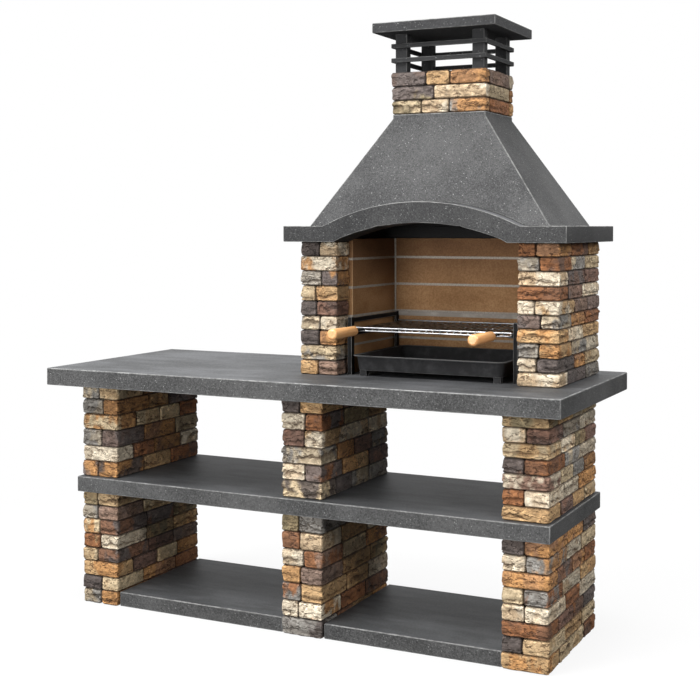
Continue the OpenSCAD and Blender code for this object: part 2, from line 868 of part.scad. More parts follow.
// Pressed tray with sloping walls, round corners and a turned rim
module fire_tray() {
    top = fire_z + tray_z;
    depth = top - tray_floor_z;
    lean = tray_taper / depth;
    color(black_steel) difference() {
        union() {
            tray_form([tray_floor_z, top - skin], [0, tray_taper]);
            translate([0, 0, top - tray_rim_t])
                linear_extrude(tray_rim_t) tray_outline(tray_taper + tray_rim);
        }
        tray_form([tray_floor_z + tray_t, top + over],
                  [lean * tray_t - tray_t, lean * (depth + over) - tray_t]);
    }
}

// Channel feet with their closed side to the front, one near each corner of the tray
module tray_feet() {
    edge = tray_rim + tray_taper + foot_in;
    xs = [-tray_half + edge, tray_half - edge - foot_w];
    ys = [tray_y[0] + edge, tray_y[1] - edge - foot_d];
    color(black_steel)
        for (x = xs)
            for (y = ys)
                translate([fire_x + x, y, fire_z]) difference() {
                    cube([foot_w, foot_d, foot_h]);
                    translate([-over, foot_t, foot_t])
                        cube([foot_w + 2 * over, foot_d - 2 * foot_t, foot_h]);
                }
}

base_slab_left();
base_slab_right();
pier_left_lower();
pier_middle_lower();
pier_right_lower();
middle_shelf();
pier_left_upper();
pier_middle_upper();
pier_right_upper();
worktop();
column_left();
column_right();
rear_panel();
firebrick_back();
firebrick_left();
firebrick_right();
hood_visor();
hood_pyramid();
chimney_flue();
chimney_collar();
chimney_posts();
louvre_front();
louvre_back();
louvre_left();
louvre_right();
chimney_cap();
grill_stand_left();
grill_stand_right();
grill_stand_rear_bar();
grill_rim();
grill_clamp_rods();
grill_cross_rods();
grill_bars();
grill_handle_rods();
handle_left();
handle_right();
fire_tray();
tray_feet();
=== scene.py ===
import math
import random

import bmesh
import bpy
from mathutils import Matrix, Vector


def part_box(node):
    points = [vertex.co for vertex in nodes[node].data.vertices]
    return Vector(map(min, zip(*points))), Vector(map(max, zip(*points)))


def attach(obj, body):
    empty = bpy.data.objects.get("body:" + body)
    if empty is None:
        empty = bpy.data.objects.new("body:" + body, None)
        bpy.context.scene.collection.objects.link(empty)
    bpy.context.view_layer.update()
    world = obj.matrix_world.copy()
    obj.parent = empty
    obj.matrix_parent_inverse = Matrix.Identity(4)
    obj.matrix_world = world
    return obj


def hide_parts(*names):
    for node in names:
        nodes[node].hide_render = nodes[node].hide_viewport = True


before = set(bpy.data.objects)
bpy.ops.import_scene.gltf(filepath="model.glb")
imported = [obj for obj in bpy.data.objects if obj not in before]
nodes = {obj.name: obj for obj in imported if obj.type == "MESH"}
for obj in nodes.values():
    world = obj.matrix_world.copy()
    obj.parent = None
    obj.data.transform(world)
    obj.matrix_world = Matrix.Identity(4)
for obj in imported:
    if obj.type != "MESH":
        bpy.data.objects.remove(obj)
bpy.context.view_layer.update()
scene = bpy.context.scene

# The camera stands to the right of the front, level with the hood and almost level itself.
# Its lens is shifted down, so that the upright edges stay upright.
camera = bpy.data.objects.new("photo_camera", bpy.data.cameras.new("photo_camera"))
scene.collection.objects.link(camera)
scene.camera = camera
camera.location = (2.1461, -4.2062, 1.4406)
camera.rotation_euler = (math.radians(88.874), 0, math.radians(26.250))
camera.data.lens = 65.379
camera.data.sensor_width = 36
camera.data.shift_y = -0.14

# A white studio: a soft dome all round, a wide lamp high in front on the left, a second overhead,
# weak ones in front and on the right, and a white paper floor. The camera and shiny surfaces see
# the dome as plain white. Each lamp has its place, the side of its square and its watts.
scene.view_settings.view_transform = "Standard"
dome_strength = 0.07
studio_lamps = {
    "key": ((-1.9, -3.1, 5.9), 3.0, 510),
    "top_lamp": ((0.4, 0.2, 6.6), 2.6, 350),
    "front_lamp": ((-0.4, -5.8, 1.3), 2.6, 258),
    "fire_lamp": ((3.2, -2.0, 2.2), 0.8, 36),
    "side_lamp": ((4.0, 1.2, 3.8), 1.6, 76),
}
lamp_target = Vector((0.2, 0.0, 1.0))
floor_half = 40.0
floor_z = -0.0006
paper_colour = (0.8, 0.8, 0.8, 1)
paper_colour_unseen = (0.08, 0.08, 0.08, 1)
paper_glow = 0.88
paper_fade = (1.2, 2.6)

world = bpy.data.worlds.new("studio")
scene.world = world
world.use_nodes = True
dome_nodes = world.node_tree.nodes
dome_links = world.node_tree.links
dome = dome_nodes["Background"]
dome.inputs["Color"].default_value = (1, 1, 1, 1)
dome.inputs["Strength"].default_value = dome_strength
white_dome = dome_nodes.new("ShaderNodeBackground")
white_dome.inputs["Color"].default_value = (1, 1, 1, 1)
ray = dome_nodes.new("ShaderNodeLightPath")
sees_white = None
for kind in ("Is Camera Ray", "Is Glossy Ray", "Is Transmission Ray"):
    if sees_white is None:
        sees_white = ray.outputs[kind]
        continue
    either = dome_nodes.new("ShaderNodeMath")
    either.operation = "MAXIMUM"
    dome_links.new(sees_white, either.inputs[0])
    dome_links.new(ray.outputs[kind], either.inputs[1])
    sees_white = either.outputs[0]
choice = dome_nodes.new("ShaderNodeMixShader")
dome_links.new(sees_white, choice.inputs[0])
dome_links.new(dome.outputs[0], choice.inputs[1])
dome_links.new(white_dome.outputs[0], choice.inputs[2])
dome_links.new(choice.outputs[0], dome_nodes["World Output"].inputs["Surface"])

for lamp_name, (place, width, watts) in studio_lamps.items():
    lamp = bpy.data.objects.new(lamp_name, bpy.data.lights.new(lamp_name, "AREA"))
    lamp.data.shape = "SQUARE"
    lamp.data.size = width
    lamp.data.energy = watts
    lamp.location = place
    lamp.rotation_euler = (lamp_target - lamp.location).to_track_quat("-Z", "Y").to_euler()
    scene.collection.objects.link(lamp)


class Wire:
    """An output of a node tree. Arithmetic on it adds the nodes that work the sum out."""

    def __init__(self, tree, socket):
        self.tree = tree
        self.socket = socket

    def math(self, operation, *others):
        """The result of an operation on this wire and on other wires or values."""
        many = [self, *others]
        is_vector = any(isinstance(o, tuple) for o in many)
        is_vector = is_vector or any(
            isinstance(o, Wire) and o.socket.type in ("VECTOR", "RGBA") for o in many)
        node = self.tree.nodes.new("ShaderNodeVectorMath" if is_vector else "ShaderNodeMath")
        node.operation = operation
        for socket, value in zip(node.inputs, many):
            feed(self.tree, socket, value)
        single = operation in ("LENGTH", "DOT_PRODUCT")
        return Wire(self.tree, node.outputs["Value"] if single else node.outputs[0])

    def __add__(self, other):
        return self.math("ADD", other)

    def __sub__(self, other):
        return self.math("SUBTRACT", other)

    def __mul__(self, other):
        return self.math("MULTIPLY", other)

    def __truediv__(self, other):
        return self.math("DIVIDE", other)

    def parts(self):
        """The X, Y and Z of a vector, or the red, green and blue of a colour."""
        node = self.tree.nodes.new("ShaderNodeSeparateXYZ")
        feed(self.tree, node.inputs[0], self)
        return [Wire(self.tree, o) for o in node.outputs]


def feed(tree, socket, value):
    """Links a wire to a socket, or sets the socket to a plain value."""
    if isinstance(value, Wire):
        tree.links.new(value.socket, socket)
    elif isinstance(value, (int, float)) and socket.type == "VECTOR":
        socket.default_value = (value, value, value)
    else:
        socket.default_value = value


def fit(tree, kind, settings=(), **inputs):
    """A node with its settings and its inputs."""
    node = tree.nodes.new(kind)
    for name, value in dict(settings).items():
        setattr(node, name, value)
    for name, value in inputs.items():
        feed(tree, node.inputs[name.replace("_", " ")], value)
    return node


def out(tree, node, name=0):
    """An output of a node, as a wire."""
    return Wire(tree, node.outputs[name])


def smooth(tree, value, low, high, to_low=0.0, to_high=1.0):
    """Value eased from to_low at low to to_high at high."""
    node = tree.nodes.new("ShaderNodeMapRange")
    node.interpolation_type = "SMOOTHSTEP"
    for name, given in (("Value", value), ("From Min", low), ("From Max", high),
                        ("To Min", to_low), ("To Max", to_high)):
        feed(tree, node.inputs[name], given)
    return out(tree, node)


def mixed(tree, share, first, second, mode="MIX"):
    """Two colours mixed by a share of the second."""
    node = tree.nodes.new("ShaderNodeMix")
    node.data_type = "RGBA"
    node.blend_type = mode
    for number, value in ((0, share), (6, first), (7, second)):
        feed(tree, node.inputs[number], value)
    return Wire(tree, node.outputs[2])


def new_finish(name, roughness, metallic=0.0):
    """A new material, its node tree and its main shader."""
    material = bpy.data.materials.new(name)
    material.use_nodes = True
    shader = material.node_tree.nodes["Principled BSDF"]
    shader.inputs["Roughness"].default_value = roughness
    shader.inputs["Metallic"].default_value = metallic
    return material, material.node_tree, shader


def object_place(tree):
    """Where a point lies in the object's own frame."""
    return out(tree, tree.nodes.new("ShaderNodeTexCoord"), "Object")


floor_sheet = bpy.data.meshes.new("floor")
floor_corners = [(x * floor_half, y * floor_half, floor_z)
                 for x, y in ((-1, -1), (1, -1), (1, 1), (-1, 1))]
floor_sheet.from_pydata(floor_corners, [], [(0, 1, 2, 3)])
floor = bpy.data.objects.new("floor", floor_sheet)
scene.collection.objects.link(floor)
paper, tree, shader = new_finish("white_paper", 0.9)
shader.inputs["Specular IOR Level"].default_value = 0.1
plain_white = fit(tree, "ShaderNodeEmission")
away = (object_place(tree) * (1.0, 1.0, 0.0)).math("LENGTH")
seen = out(tree, tree.nodes.new("ShaderNodeLightPath"), "Is Camera Ray")
feed(tree, shader.inputs["Base Color"], mixed(tree, seen, paper_colour_unseen, paper_colour))
share = fit(tree, "ShaderNodeMixShader",
            Fac=smooth(tree, away, *paper_fade, paper_glow, 1.0) * seen)
tree.links.new(shader.outputs[0], share.inputs[1])
tree.links.new(plain_white.outputs[0], share.inputs[2])
tree.links.new(share.outputs[0], tree.nodes["Material Output"].inputs["Surface"])
floor_sheet.materials.append(paper)

# The slabs on the floor of the bays, the middle shelf and the worktop are cast of charcoal
# concrete with pale stone chips. Their tops are trowelled, and their arrises are pale, partly worn
# and partly a painted highlight. Each kind of chip has its closeness, size, share, colour and
# seed.
slab_arris = 0.0035
arris_steps = 3
concrete_relief = 0.0016
stone_chips = ((170.0, 0.34, 0.05, "9d9e9c", 1.0), (260.0, 0.40, 0.10, "858685", 4.0),
               (230.0, 0.38, 0.08, "2c2d2f", 9.0))


def rounded_box(form, low, high, radius, steps=arris_steps):
    """Adds a box with round arrises to a form, and marks the faces of its arrises."""
    worn = form.faces.layers.float.get("edge") or form.faces.layers.float.new("edge")
    made = bmesh.ops.create_cube(form, size=1.0)["verts"]
    for vertex in made:
        vertex.co = [low[i] + (vertex.co[i] + 0.5) * (high[i] - low[i]) for i in range(3)]
    edges = {edge for vertex in made for edge in vertex.link_edges}
    bevel = bmesh.ops.bevel(form, geom=list(edges), offset=radius, segments=steps, profile=0.5,
                            affect="EDGES")
    for face in bevel["faces"]:
        face[worn] = 1.0
        face.smooth = True


def settle(piece, body, replaced=()):
    """Says which body a piece moves with and what it stands for."""
    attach(piece, body)
    if replaced:
        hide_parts(*replaced)
    return piece


def piece_of(name, form, material, body, replaced=()):
    """Makes a finished form a piece that moves with a body."""
    mesh = bpy.data.meshes.new(name)
    form.to_mesh(mesh)
    form.free()
    mesh.materials.append(material)
    piece = bpy.data.objects.new(name, mesh)
    scene.collection.objects.link(piece)
    return settle(piece, body, replaced)


def noise(tree, where, scale, detail=2.0, roughness=0.5, seed=0.0):
    """Cloudy noise from 0 to 1, different for each seed."""
    node = fit(tree, "ShaderNodeTexNoise", {"noise_dimensions": "4D"}, Vector=where, W=seed,
               Scale=scale, Detail=detail, Roughness=roughness)
    return out(tree, node)


def cells(tree, where, scale, seed):
    """Cells of a random pattern: how far a point is from its cell's middle, and its chance."""
    node = fit(tree, "ShaderNodeTexVoronoi", {"voronoi_dimensions": "4D"}, Vector=where, W=seed,
               Scale=scale)
    return out(tree, node, "Distance"), out(tree, node, "Color").parts()[0]


def paint(code):
    """The linear colour of a paint-chart code such as b98a5c."""
    channels = [int(code[i:i + 2], 16) / 255 for i in (0, 2, 4)]
    linear = [c / 12.92 if c <= 0.04045 else ((c + 0.055) / 1.055) ** 2.4 for c in channels]
    return (*linear, 1.0)


def carried(tree, name):
    """A value that the mesh carries, as a number and as a colour."""
    node = fit(tree, "ShaderNodeAttribute", {"attribute_name": name})
    return out(tree, node, "Fac"), out(tree, node, "Color")


def set_bump(tree, shader, height, strength, distance):
    """Makes a height stand out from the surface, by a distance where it is 1."""
    node = fit(tree, "ShaderNodeBump", Height=height, Strength=strength, Distance=distance)
    tree.links.new(node.outputs[0], shader.inputs["Normal"])


def concrete_finish(name, dark, light, chip_share, trowelled, top_dark="38393a",
                    top_light="505153", arris="8e8e8d", hood_inside_axis=None):
    """Cast concrete, mottled and pitted, with chips of pale stone that show on its sides. Faces
    that look in towards a given upright axis are painted nearly black."""
    material, tree, shader = new_finish(name, 0.7)
    shader.inputs["Specular IOR Level"].default_value = 0.28
    spot = object_place(tree)
    normal = out(tree, tree.nodes.new("ShaderNodeNewGeometry"), "Normal")
    upward = smooth(tree, normal.parts()[2], 0.8, 0.98)
    cloud = noise(tree, spot, 3.5, 4.0, 0.6, 2.0)
    mottle = noise(tree, spot, 150.0, 3.0, 0.75, 5.0)
    sand = noise(tree, spot, 300.0, 2.0, 0.7, 6.0)
    trowel = noise(tree, spot * (1.0, 4.5, 1.0), 4.0, 6.0, 0.62, 8.0)
    shade = smooth(tree, cloud * 0.3 + mottle * 0.4 + sand * 0.3, 0.40, 0.60)
    body = mixed(tree, shade, paint(dark), paint(light))
    top_shade = smooth(tree, cloud * 0.35 + trowel * 0.45 + sand * 0.2, 0.42, 0.58)
    top = mixed(tree, top_shade, paint(top_dark), paint(top_light))
    body = mixed(tree, upward * trowelled, body, top)
    for scale, reach, share, colour, seed in stone_chips:
        distance, chance = cells(tree, spot, scale, seed)
        chip = smooth(tree, distance, reach - 0.14, reach, 1.0, 0.0)
        chosen = chance.math("GREATER_THAN", 1 - share * chip_share)
        body = mixed(tree, chip * chosen * (upward * (-0.8 * trowelled) + 1.0) * 0.85, body,
                     paint(colour))
    # Pale on the arrises, broken by noise: partly wear, partly a painted highlight.
    worn_and_highlit = smooth(tree, noise(tree, spot, 30.0, 4.0, 0.75, 11.0), 0.40, 0.62, 0.25, 0.85)
    body = mixed(tree, carried(tree, "edge")[0] * worn_and_highlit, body, paint(arris))
    # Faces inside the hood, looking in towards its axis, are painted nearly black.
    if hood_inside_axis:
        outward = ((spot - hood_inside_axis) * (1.0, 1.0, 0.0)).math("DOT_PRODUCT", normal)
        body = mixed(tree, smooth(tree, outward, -0.05, -0.01, 0.95, 0.0), body,
                     paint("0d0d0d"))
    feed(tree, shader.inputs["Base Color"], body)
    feed(tree, shader.inputs["Roughness"],
         smooth(tree, mottle - upward * (0.3 * trowelled), 0.0, 0.8, 0.5, 0.88))
    pits = (sand + mottle) * (upward * (-0.75 * trowelled) + 1.0)
    set_bump(tree, shader, pits + trowel * 0.3, 0.6, concrete_relief)
    return material


concrete = concrete_finish("charcoal_concrete", "2d2d2d", "595959", 2.2, 1.0)
for slab in ("base_slab_left", "base_slab_right", "middle_shelf", "worktop"):
    form = bmesh.new()
    rounded_box(form, *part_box(slab), slab_arris)
    piece_of("cast_" + slab, form, concrete, "masonry", [slab])

# Piers, columns and chimney collar: blocks of split sandstone and limestone, laid dry in courses.
# Each split face breaks in scoops and short ledges, and tumbling has rounded the arrises.
stone_steps = (19, 14, 10)
stone_corner = 0.0100
stone_swell = 0.0030
stone_lean = 0.0035
stone_ledge = 0.0060
stone_hollow = 0.0085
stone_relief = 0.0060
joint_reach = 0.0032
ledge_step = 0.10
ledge_levels = (-0.72, 0.66)
stone_colours = {"cream": "ddd1bb", "beige": "ccb998", "tan": "bc9c72", "orange": "b98a58",
                 "rust": "93633f", "red_brown": "806152", "rose": "917868",
                 "purple": "6d635f", "grey": "8b8883", "dark": "544c49", "olive": "918467"}
stone_partners = {"cream": "tan", "beige": "tan", "tan": "orange", "orange": "red_brown",
                  "rust": "dark", "red_brown": "dark", "rose": "purple", "purple": "rust",
                  "grey": "beige", "dark": "purple", "olive": "tan"}
stone_shares = {"cream": 15, "beige": 15, "tan": 17, "orange": 14, "rust": 9, "red_brown": 7,
                "rose": 4, "purple": 7, "grey": 6, "dark": 8, "olive": 4}
# Tints laid over a stone's colour. The tints for the foot of a step, under a ridge, in hollows and
# in joints are painted shade; pale also paints highlights.
stone_tints = {"pale": (1.5, 1.5, 1.5, 1), "blotch": (0.60, 0.56, 0.52, 1),
               "chip": (0.50, 0.46, 0.42, 1), "grain": (0.64, 0.61, 0.58, 1),
               "foot": (0.34, 0.28, 0.23, 1), "pit": (0.35, 0.30, 0.26, 1),
               "hollow": (0.50, 0.44, 0.38, 1), "ridge_shade": (0.26, 0.21, 0.18, 1),
               "joint": (0.22, 0.19, 0.17, 1)}


def new_group(name, inputs):
    """An empty geometry tree with named inputs, and a wire from each of them."""
    tree = bpy.data.node_groups.new(name, "GeometryNodeTree")
    kinds = {float: "NodeSocketFloat", int: "NodeSocketInt", tuple: "NodeSocketVector",
             type(None): "NodeSocketMaterial"}
    tree.interface.new_socket("Geometry", in_out="INPUT", socket_type="NodeSocketGeometry")
    for label, value in inputs.items():
        socket = tree.interface.new_socket(label, in_out="INPUT", socket_type=kinds[type(value)])
        if value is not None:
            socket.default_value = value
    tree.interface.new_socket("Geometry", in_out="OUTPUT", socket_type="NodeSocketGeometry")
    given = tree.nodes.new("NodeGroupInput")
    return tree, {s.name: Wire(tree, s) for s in given.outputs if s.name}


def close_group(tree, geometry, material):
    """Makes copies real, gives them their material and ends the tree."""
    soft = tree.nodes.new("GeometryNodeSetShadeSmooth")
    feed(tree, soft.inputs[0], geometry)
    real = fit(tree, "GeometryNodeRealizeInstances", Geometry=out(tree, soft))
    dressed = fit(tree, "GeometryNodeSetMaterial", Geometry=out(tree, real), Material=material)
    end = tree.nodes.new("NodeGroupOutput")
    tree.links.new(dressed.outputs[0], end.inputs[0])


def grown(name, mesh, tree, **sizes):
    """The plain mesh object that a geometry tree grows on a mesh."""
    piece = bpy.data.objects.new(name, mesh)
    scene.collection.objects.link(piece)
    modifier = piece.modifiers.new("growth", "NODES")
    modifier.node_group = tree
    for item in tree.interface.items_tree:
        key = item.name.replace(" ", "_").lower()
        if item.in_out == "INPUT" and key in sizes:
            modifier[item.identifier] = sizes[key]
    bpy.context.view_layer.update()
    evaluated = piece.evaluated_get(bpy.context.evaluated_depsgraph_get())
    shaped = bpy.data.meshes.new_from_object(evaluated)
    piece.modifiers.remove(modifier)
    piece.data = shaped
    return piece


def points_mesh(name, spots, **values):
    """A mesh of loose points that carry values: numbers or triples of numbers."""
    mesh = bpy.data.meshes.new(name)
    mesh.from_pydata([tuple(spot) for spot in spots], [], [])
    for label, given in values.items():
        single = isinstance(given[0], float)
        layer = mesh.attributes.new(label, "FLOAT" if single else "FLOAT_VECTOR", "POINT")
        flat = given if single else [number for triple in given for number in triple]
        layer.data.foreach_set("value" if single else "vector", flat)
    return mesh


def read(tree, name, kind="FLOAT"):
    """A value that the points of a geometry carry."""
    return out(tree, fit(tree, "GeometryNodeInputNamedAttribute", {"data_type": kind}, Name=name))


def keep(tree, geometry, name, value, kind="FLOAT"):
    """Stores a value on every point of a geometry."""
    node = fit(tree, "GeometryNodeStoreNamedAttribute", {"data_type": kind, "domain": "POINT"})
    for label, given in (("Geometry", geometry), ("Name", name), ("Value", value)):
        feed(tree, node.inputs[label], given)
    return out(tree, node)


def split_stone_tree():
    """Grows a split stone on each point. A point carries half the size of its stone, the sides
    of it that are split faces, and a number of its own that sets its breaks."""
    tree, given = new_group("split_stones", {
        "Steps X": 18, "Steps Y": 14, "Steps Z": 10, "Crowding": 0.45, "Corner": 0.009,
        "Swell": 0.003, "Lean": 0.004, "Ledge": 0.005, "Hollow": 0.004, "Material": None})
    cube = fit(tree, "GeometryNodeMeshCube", Size=(2.0, 2.0, 2.0))
    for axis in "XYZ":
        feed(tree, cube.inputs["Vertices " + axis], given["Steps " + axis] + 1.0)
    spot = out(tree, tree.nodes.new("GeometryNodeInputPosition"))
    unit = keep(tree, out(tree, cube), "unit", spot, "FLOAT_VECTOR")
    points = keep(tree, given["Geometry"], "centre", spot, "FLOAT_VECTOR")
    spread = fit(tree, "GeometryNodeInstanceOnPoints", Points=points, Instance=unit)
    real = fit(tree, "GeometryNodeRealizeInstances", Geometry=out(tree, spread))

    even = read(tree, "unit", "FLOAT_VECTOR")
    low_out = read(tree, "low_out", "FLOAT_VECTOR")
    high_out = read(tree, "high_out", "FLOAT_VECTOR")
    mark = read(tree, "mark")
    half = read(tree, "half", "FLOAT_VECTOR") + (low_out + high_out) * given["Swell"] * 0.5
    centre = read(tree, "centre", "FLOAT_VECTOR") + (high_out - low_out) * given["Swell"] * 0.5

    bent = even + ((even * (math.pi / 2)).math("SINE") - even) * given["Crowding"]
    across, along, _ = bent.parts()
    up = even.parts()[2]
    flat_spot = (bent * half + centre) * (1.0, 1.0, 0.0)
    steady = out(tree, fit(tree, "ShaderNodeCombineXYZ", X=0.31, Y=0.77, Z=0.13))
    level = noise(tree, steady, 1.0, 0.0, 0.5, mark * 7.0) * 2.4 - 1.32
    wander = noise(tree, flat_spot, 13.0, 2.0, 0.6, mark) - 0.5
    jag = noise(tree, flat_spot, 60.0, 2.0, 0.7, mark + 20.0) - 0.5
    ridge = level + wander * 2.3 + jag * 1.3
    ridge = ridge.math("MAXIMUM", ledge_levels[0]).math("MINIMUM", ledge_levels[1])
    present = smooth(tree, noise(tree, flat_spot, 15.0, 1.0, 0.5, mark + 60.0), 0.38, 0.5)
    rising = (up.math("MAXIMUM", 0.0) * (math.pi / 2)).math("SINE")
    sinking = ((((up * -1.0) - 0.2) / 0.8).math("MAXIMUM", 0.0) * (math.pi / 2)).math("SINE")
    over_ridge = ridge + (ridge * -1.0 + 1.0) * rising
    under_ridge = ridge - ledge_step - (ridge + (1.0 - ledge_step)) * sinking
    is_over = up.math("GREATER_THAN", -0.1)
    height = under_ridge + (over_ridge - under_ridge) * is_over
    shape = fit(tree, "ShaderNodeCombineXYZ", X=across, Y=along, Z=height)
    surface = out(tree, shape) * half

    worn = noise(tree, surface + centre, 32.0, 2.0, 0.6, mark + 5.0)
    corner = given["Corner"] * (worn * 1.5 + 0.25)
    core = half - corner
    inner = surface.math("MAXIMUM", core * -1.0).math("MINIMUM", core)
    outward = (surface - inner).math("NORMALIZE")
    low_face = (outward * -1.0).math("MAXIMUM", (0.0, 0.0, 0.0)) * low_out
    high_face = outward.math("MAXIMUM", (0.0, 0.0, 0.0)) * high_out
    split = (low_face + high_face).math("DOT_PRODUCT", (1.0, 1.0, 1.0)).math("MINIMUM", 1.0)

    strength = noise(tree, steady, 1.0, 0.0, 0.5, mark * 5.0 + 90.0)
    strength = smooth(tree, strength, 0.35, 0.6, 0.25, 1.15)
    lean = rising * given["Lean"]
    drop = (sinking * -0.7 + 1.0) * present * given["Ledge"]
    broken = (drop + (lean - drop) * is_over) * strength
    hollow = noise(tree, surface + centre, 24.0, 3.0, 0.65, mark + 40.0)
    facet, _ = cells(tree, surface + centre, 34.0, mark + 7.0)
    depth = broken + (hollow + facet * 0.6 - 0.45) * given["Hollow"]
    final = inner + outward * corner - outward * depth * split + centre
    moved = fit(tree, "GeometryNodeSetPosition", Geometry=out(tree, real), Position=final)

    turned = outward.math("ABSOLUTE").parts()
    widest = turned[0].math("MAXIMUM", turned[1]).math("MAXIMUM", turned[2])
    under = (is_over * -1.0 + 1.0) * split
    kept = keep(tree, out(tree, moved), "edge", smooth(tree, widest, 0.78, 0.99, 1.0, 0.0))
    # Under the ridge of a ledge the face is marked for a dark line of painted shade.
    kept = keep(tree, kept, "ridge_shade",
                under * smooth(tree, sinking, 0.0, 0.5, 1.0, 0.0) * strength * present)
    # How deep the split face lies, used to paint shade into its hollows.
    kept = keep(tree, kept, "deep", depth * split * 100.0)
    # Faces inside the joints between the stones, which take painted shade.
    kept = keep(tree, kept, "joint", smooth(tree, split, 0.2, 0.7, 1.0, 0.0))
    close_group(tree, kept, given["Material"])
    return tree


def tinted(tree, share, body, tint):
    """A colour of the stone with a share of a tint laid over it."""
    return mixed(tree, share, body, stone_tints[tint], "MULTIPLY")


def stone_finish():
    """Split stone. Each stone carries its own tone, second colour, breaks and worn arrises;
    painted shade lies under its ledges, in its hollows and joints, and painted highlights on its
    lips and arrises.
    """
    material, tree, shader = new_finish("split_stone", 0.86)
    spot = object_place(tree)
    mark = carried(tree, "mark")[0]
    tone = carried(tree, "tone")[1]
    partner = carried(tree, "partner")[1]
    layered = carried(tree, "layered")[0]
    vein = noise(tree, spot * (1.0, 1.0, 0.7), 10.0, 3.0, 0.6, mark)
    blotch = noise(tree, spot, 45.0, 4.0, 0.68, mark + 30.0)
    grain = noise(tree, spot, 230.0, 3.0, 0.75, mark + 60.0)
    bent = (noise(tree, spot, 55.0, 2.0, 0.6, mark + 80.0) - 0.5) * 0.03
    split_line = noise(tree, spot * (1.0, 1.0, 2.6) + bent * 0.5, 11.0, 4.0, 0.62, mark + 90.0)
    terrace = smooth(tree, split_line, 0.455, 0.485) + smooth(tree, split_line, 0.56, 0.59)
    # Each step of the split lines gets a dark band at its foot, painted shade, and a pale band on
    # its lip, a painted highlight.
    foot = smooth(tree, split_line, 0.44, 0.457) - smooth(tree, split_line, 0.460, 0.48)
    lip_highlight = smooth(tree, split_line, 0.475, 0.49) - smooth(tree, split_line, 0.50, 0.53)
    chip_distance, chip_chance = cells(tree, spot * (1.0, 1.0, 1.5) + bent, 62.0, mark + 13.0)
    stain = smooth(tree, vein, 0.46, 0.55, 0.0, 1.0) * layered
    body = mixed(tree, stain, tone, partner)
    body = tinted(tree, smooth(tree, blotch, 0.35, 0.62, 0.5, 0.0), body, "blotch")
    body = tinted(tree, smooth(tree, blotch, 0.50, 0.72, 0.0, 0.6), body, "pale")
    body = tinted(tree, chip_chance * 0.34, body, "chip")
    body = tinted(tree, smooth(tree, chip_distance, 0.1, 0.5, 0.4, 0.0), body, "pale")
    body = tinted(tree, smooth(tree, grain, 0.3, 0.62, 0.75, 0.0), body, "grain")
    body = tinted(tree, foot * 0.85, body, "foot")
    body = tinted(tree, lip_highlight * 0.6, body, "pale")
    pit_distance, pit_chance = cells(tree, spot, 190.0, mark + 3.0)
    pit = smooth(tree, pit_distance, 0.2, 0.36, 1.0, 0.0) * pit_chance.math("GREATER_THAN", 0.86)
    body = tinted(tree, pit * 0.6, body, "pit")
    # Darker where the face lies deep: painted shade in the hollows.
    deep = smooth(tree, carried(tree, "deep")[0], 0.35, 1.1, 0.0, 0.5)
    body = tinted(tree, deep, body, "hollow")
    # A dark line under each ledge's ridge: painted shade.
    body = tinted(tree, carried(tree, "ridge_shade")[0] * 0.7, body, "ridge_shade")
    in_joint = carried(tree, "joint")[0]
    # Pale on the arrises outside the joints: partly wear, partly a painted highlight.
    worn_and_highlit = carried(tree, "edge")[0] * smooth(tree, in_joint, 0.0, 0.3, 1.0, 0.0)
    body = tinted(tree, worn_and_highlit * smooth(tree, blotch, 0.4, 0.6, 0.1, 0.5), body, "pale")
    # Dark inside the joints of the dry-laid stones: painted shade.
    body = tinted(tree, in_joint * 0.85, body, "joint")
    feed(tree, shader.inputs["Base Color"], body)
    height = grain * 0.35 + blotch * 0.6 - pit * 0.5 - chip_distance * 0.6 + terrace * 1.1
    set_bump(tree, shader, height, 0.9, stone_relief)
    return material


def loose_boxes(name):
    """The box of each separate solid of a node, from the lowest up."""
    form = bmesh.new()
    form.from_mesh(nodes[name].data)
    bmesh.ops.remove_doubles(form, verts=form.verts, dist=1e-5)
    boxes = []
    waiting = set(form.verts)
    while waiting:
        group = [waiting.pop()]
        for vertex in group:
            for edge in vertex.link_edges:
                other = edge.other_vert(vertex)
                if other in waiting:
                    waiting.remove(other)
                    group.append(other)
        spots = [vertex.co for vertex in group]
        boxes.append((Vector([min(spot[i] for spot in spots) for i in range(3)]),
                      Vector([max(spot[i] for spot in spots) for i in range(3)])))
    form.free()
    return sorted(boxes, key=lambda box: [round(number, 3) for number in box[0]][::-1])


split_stones = split_stone_tree()
split_stone = stone_finish()

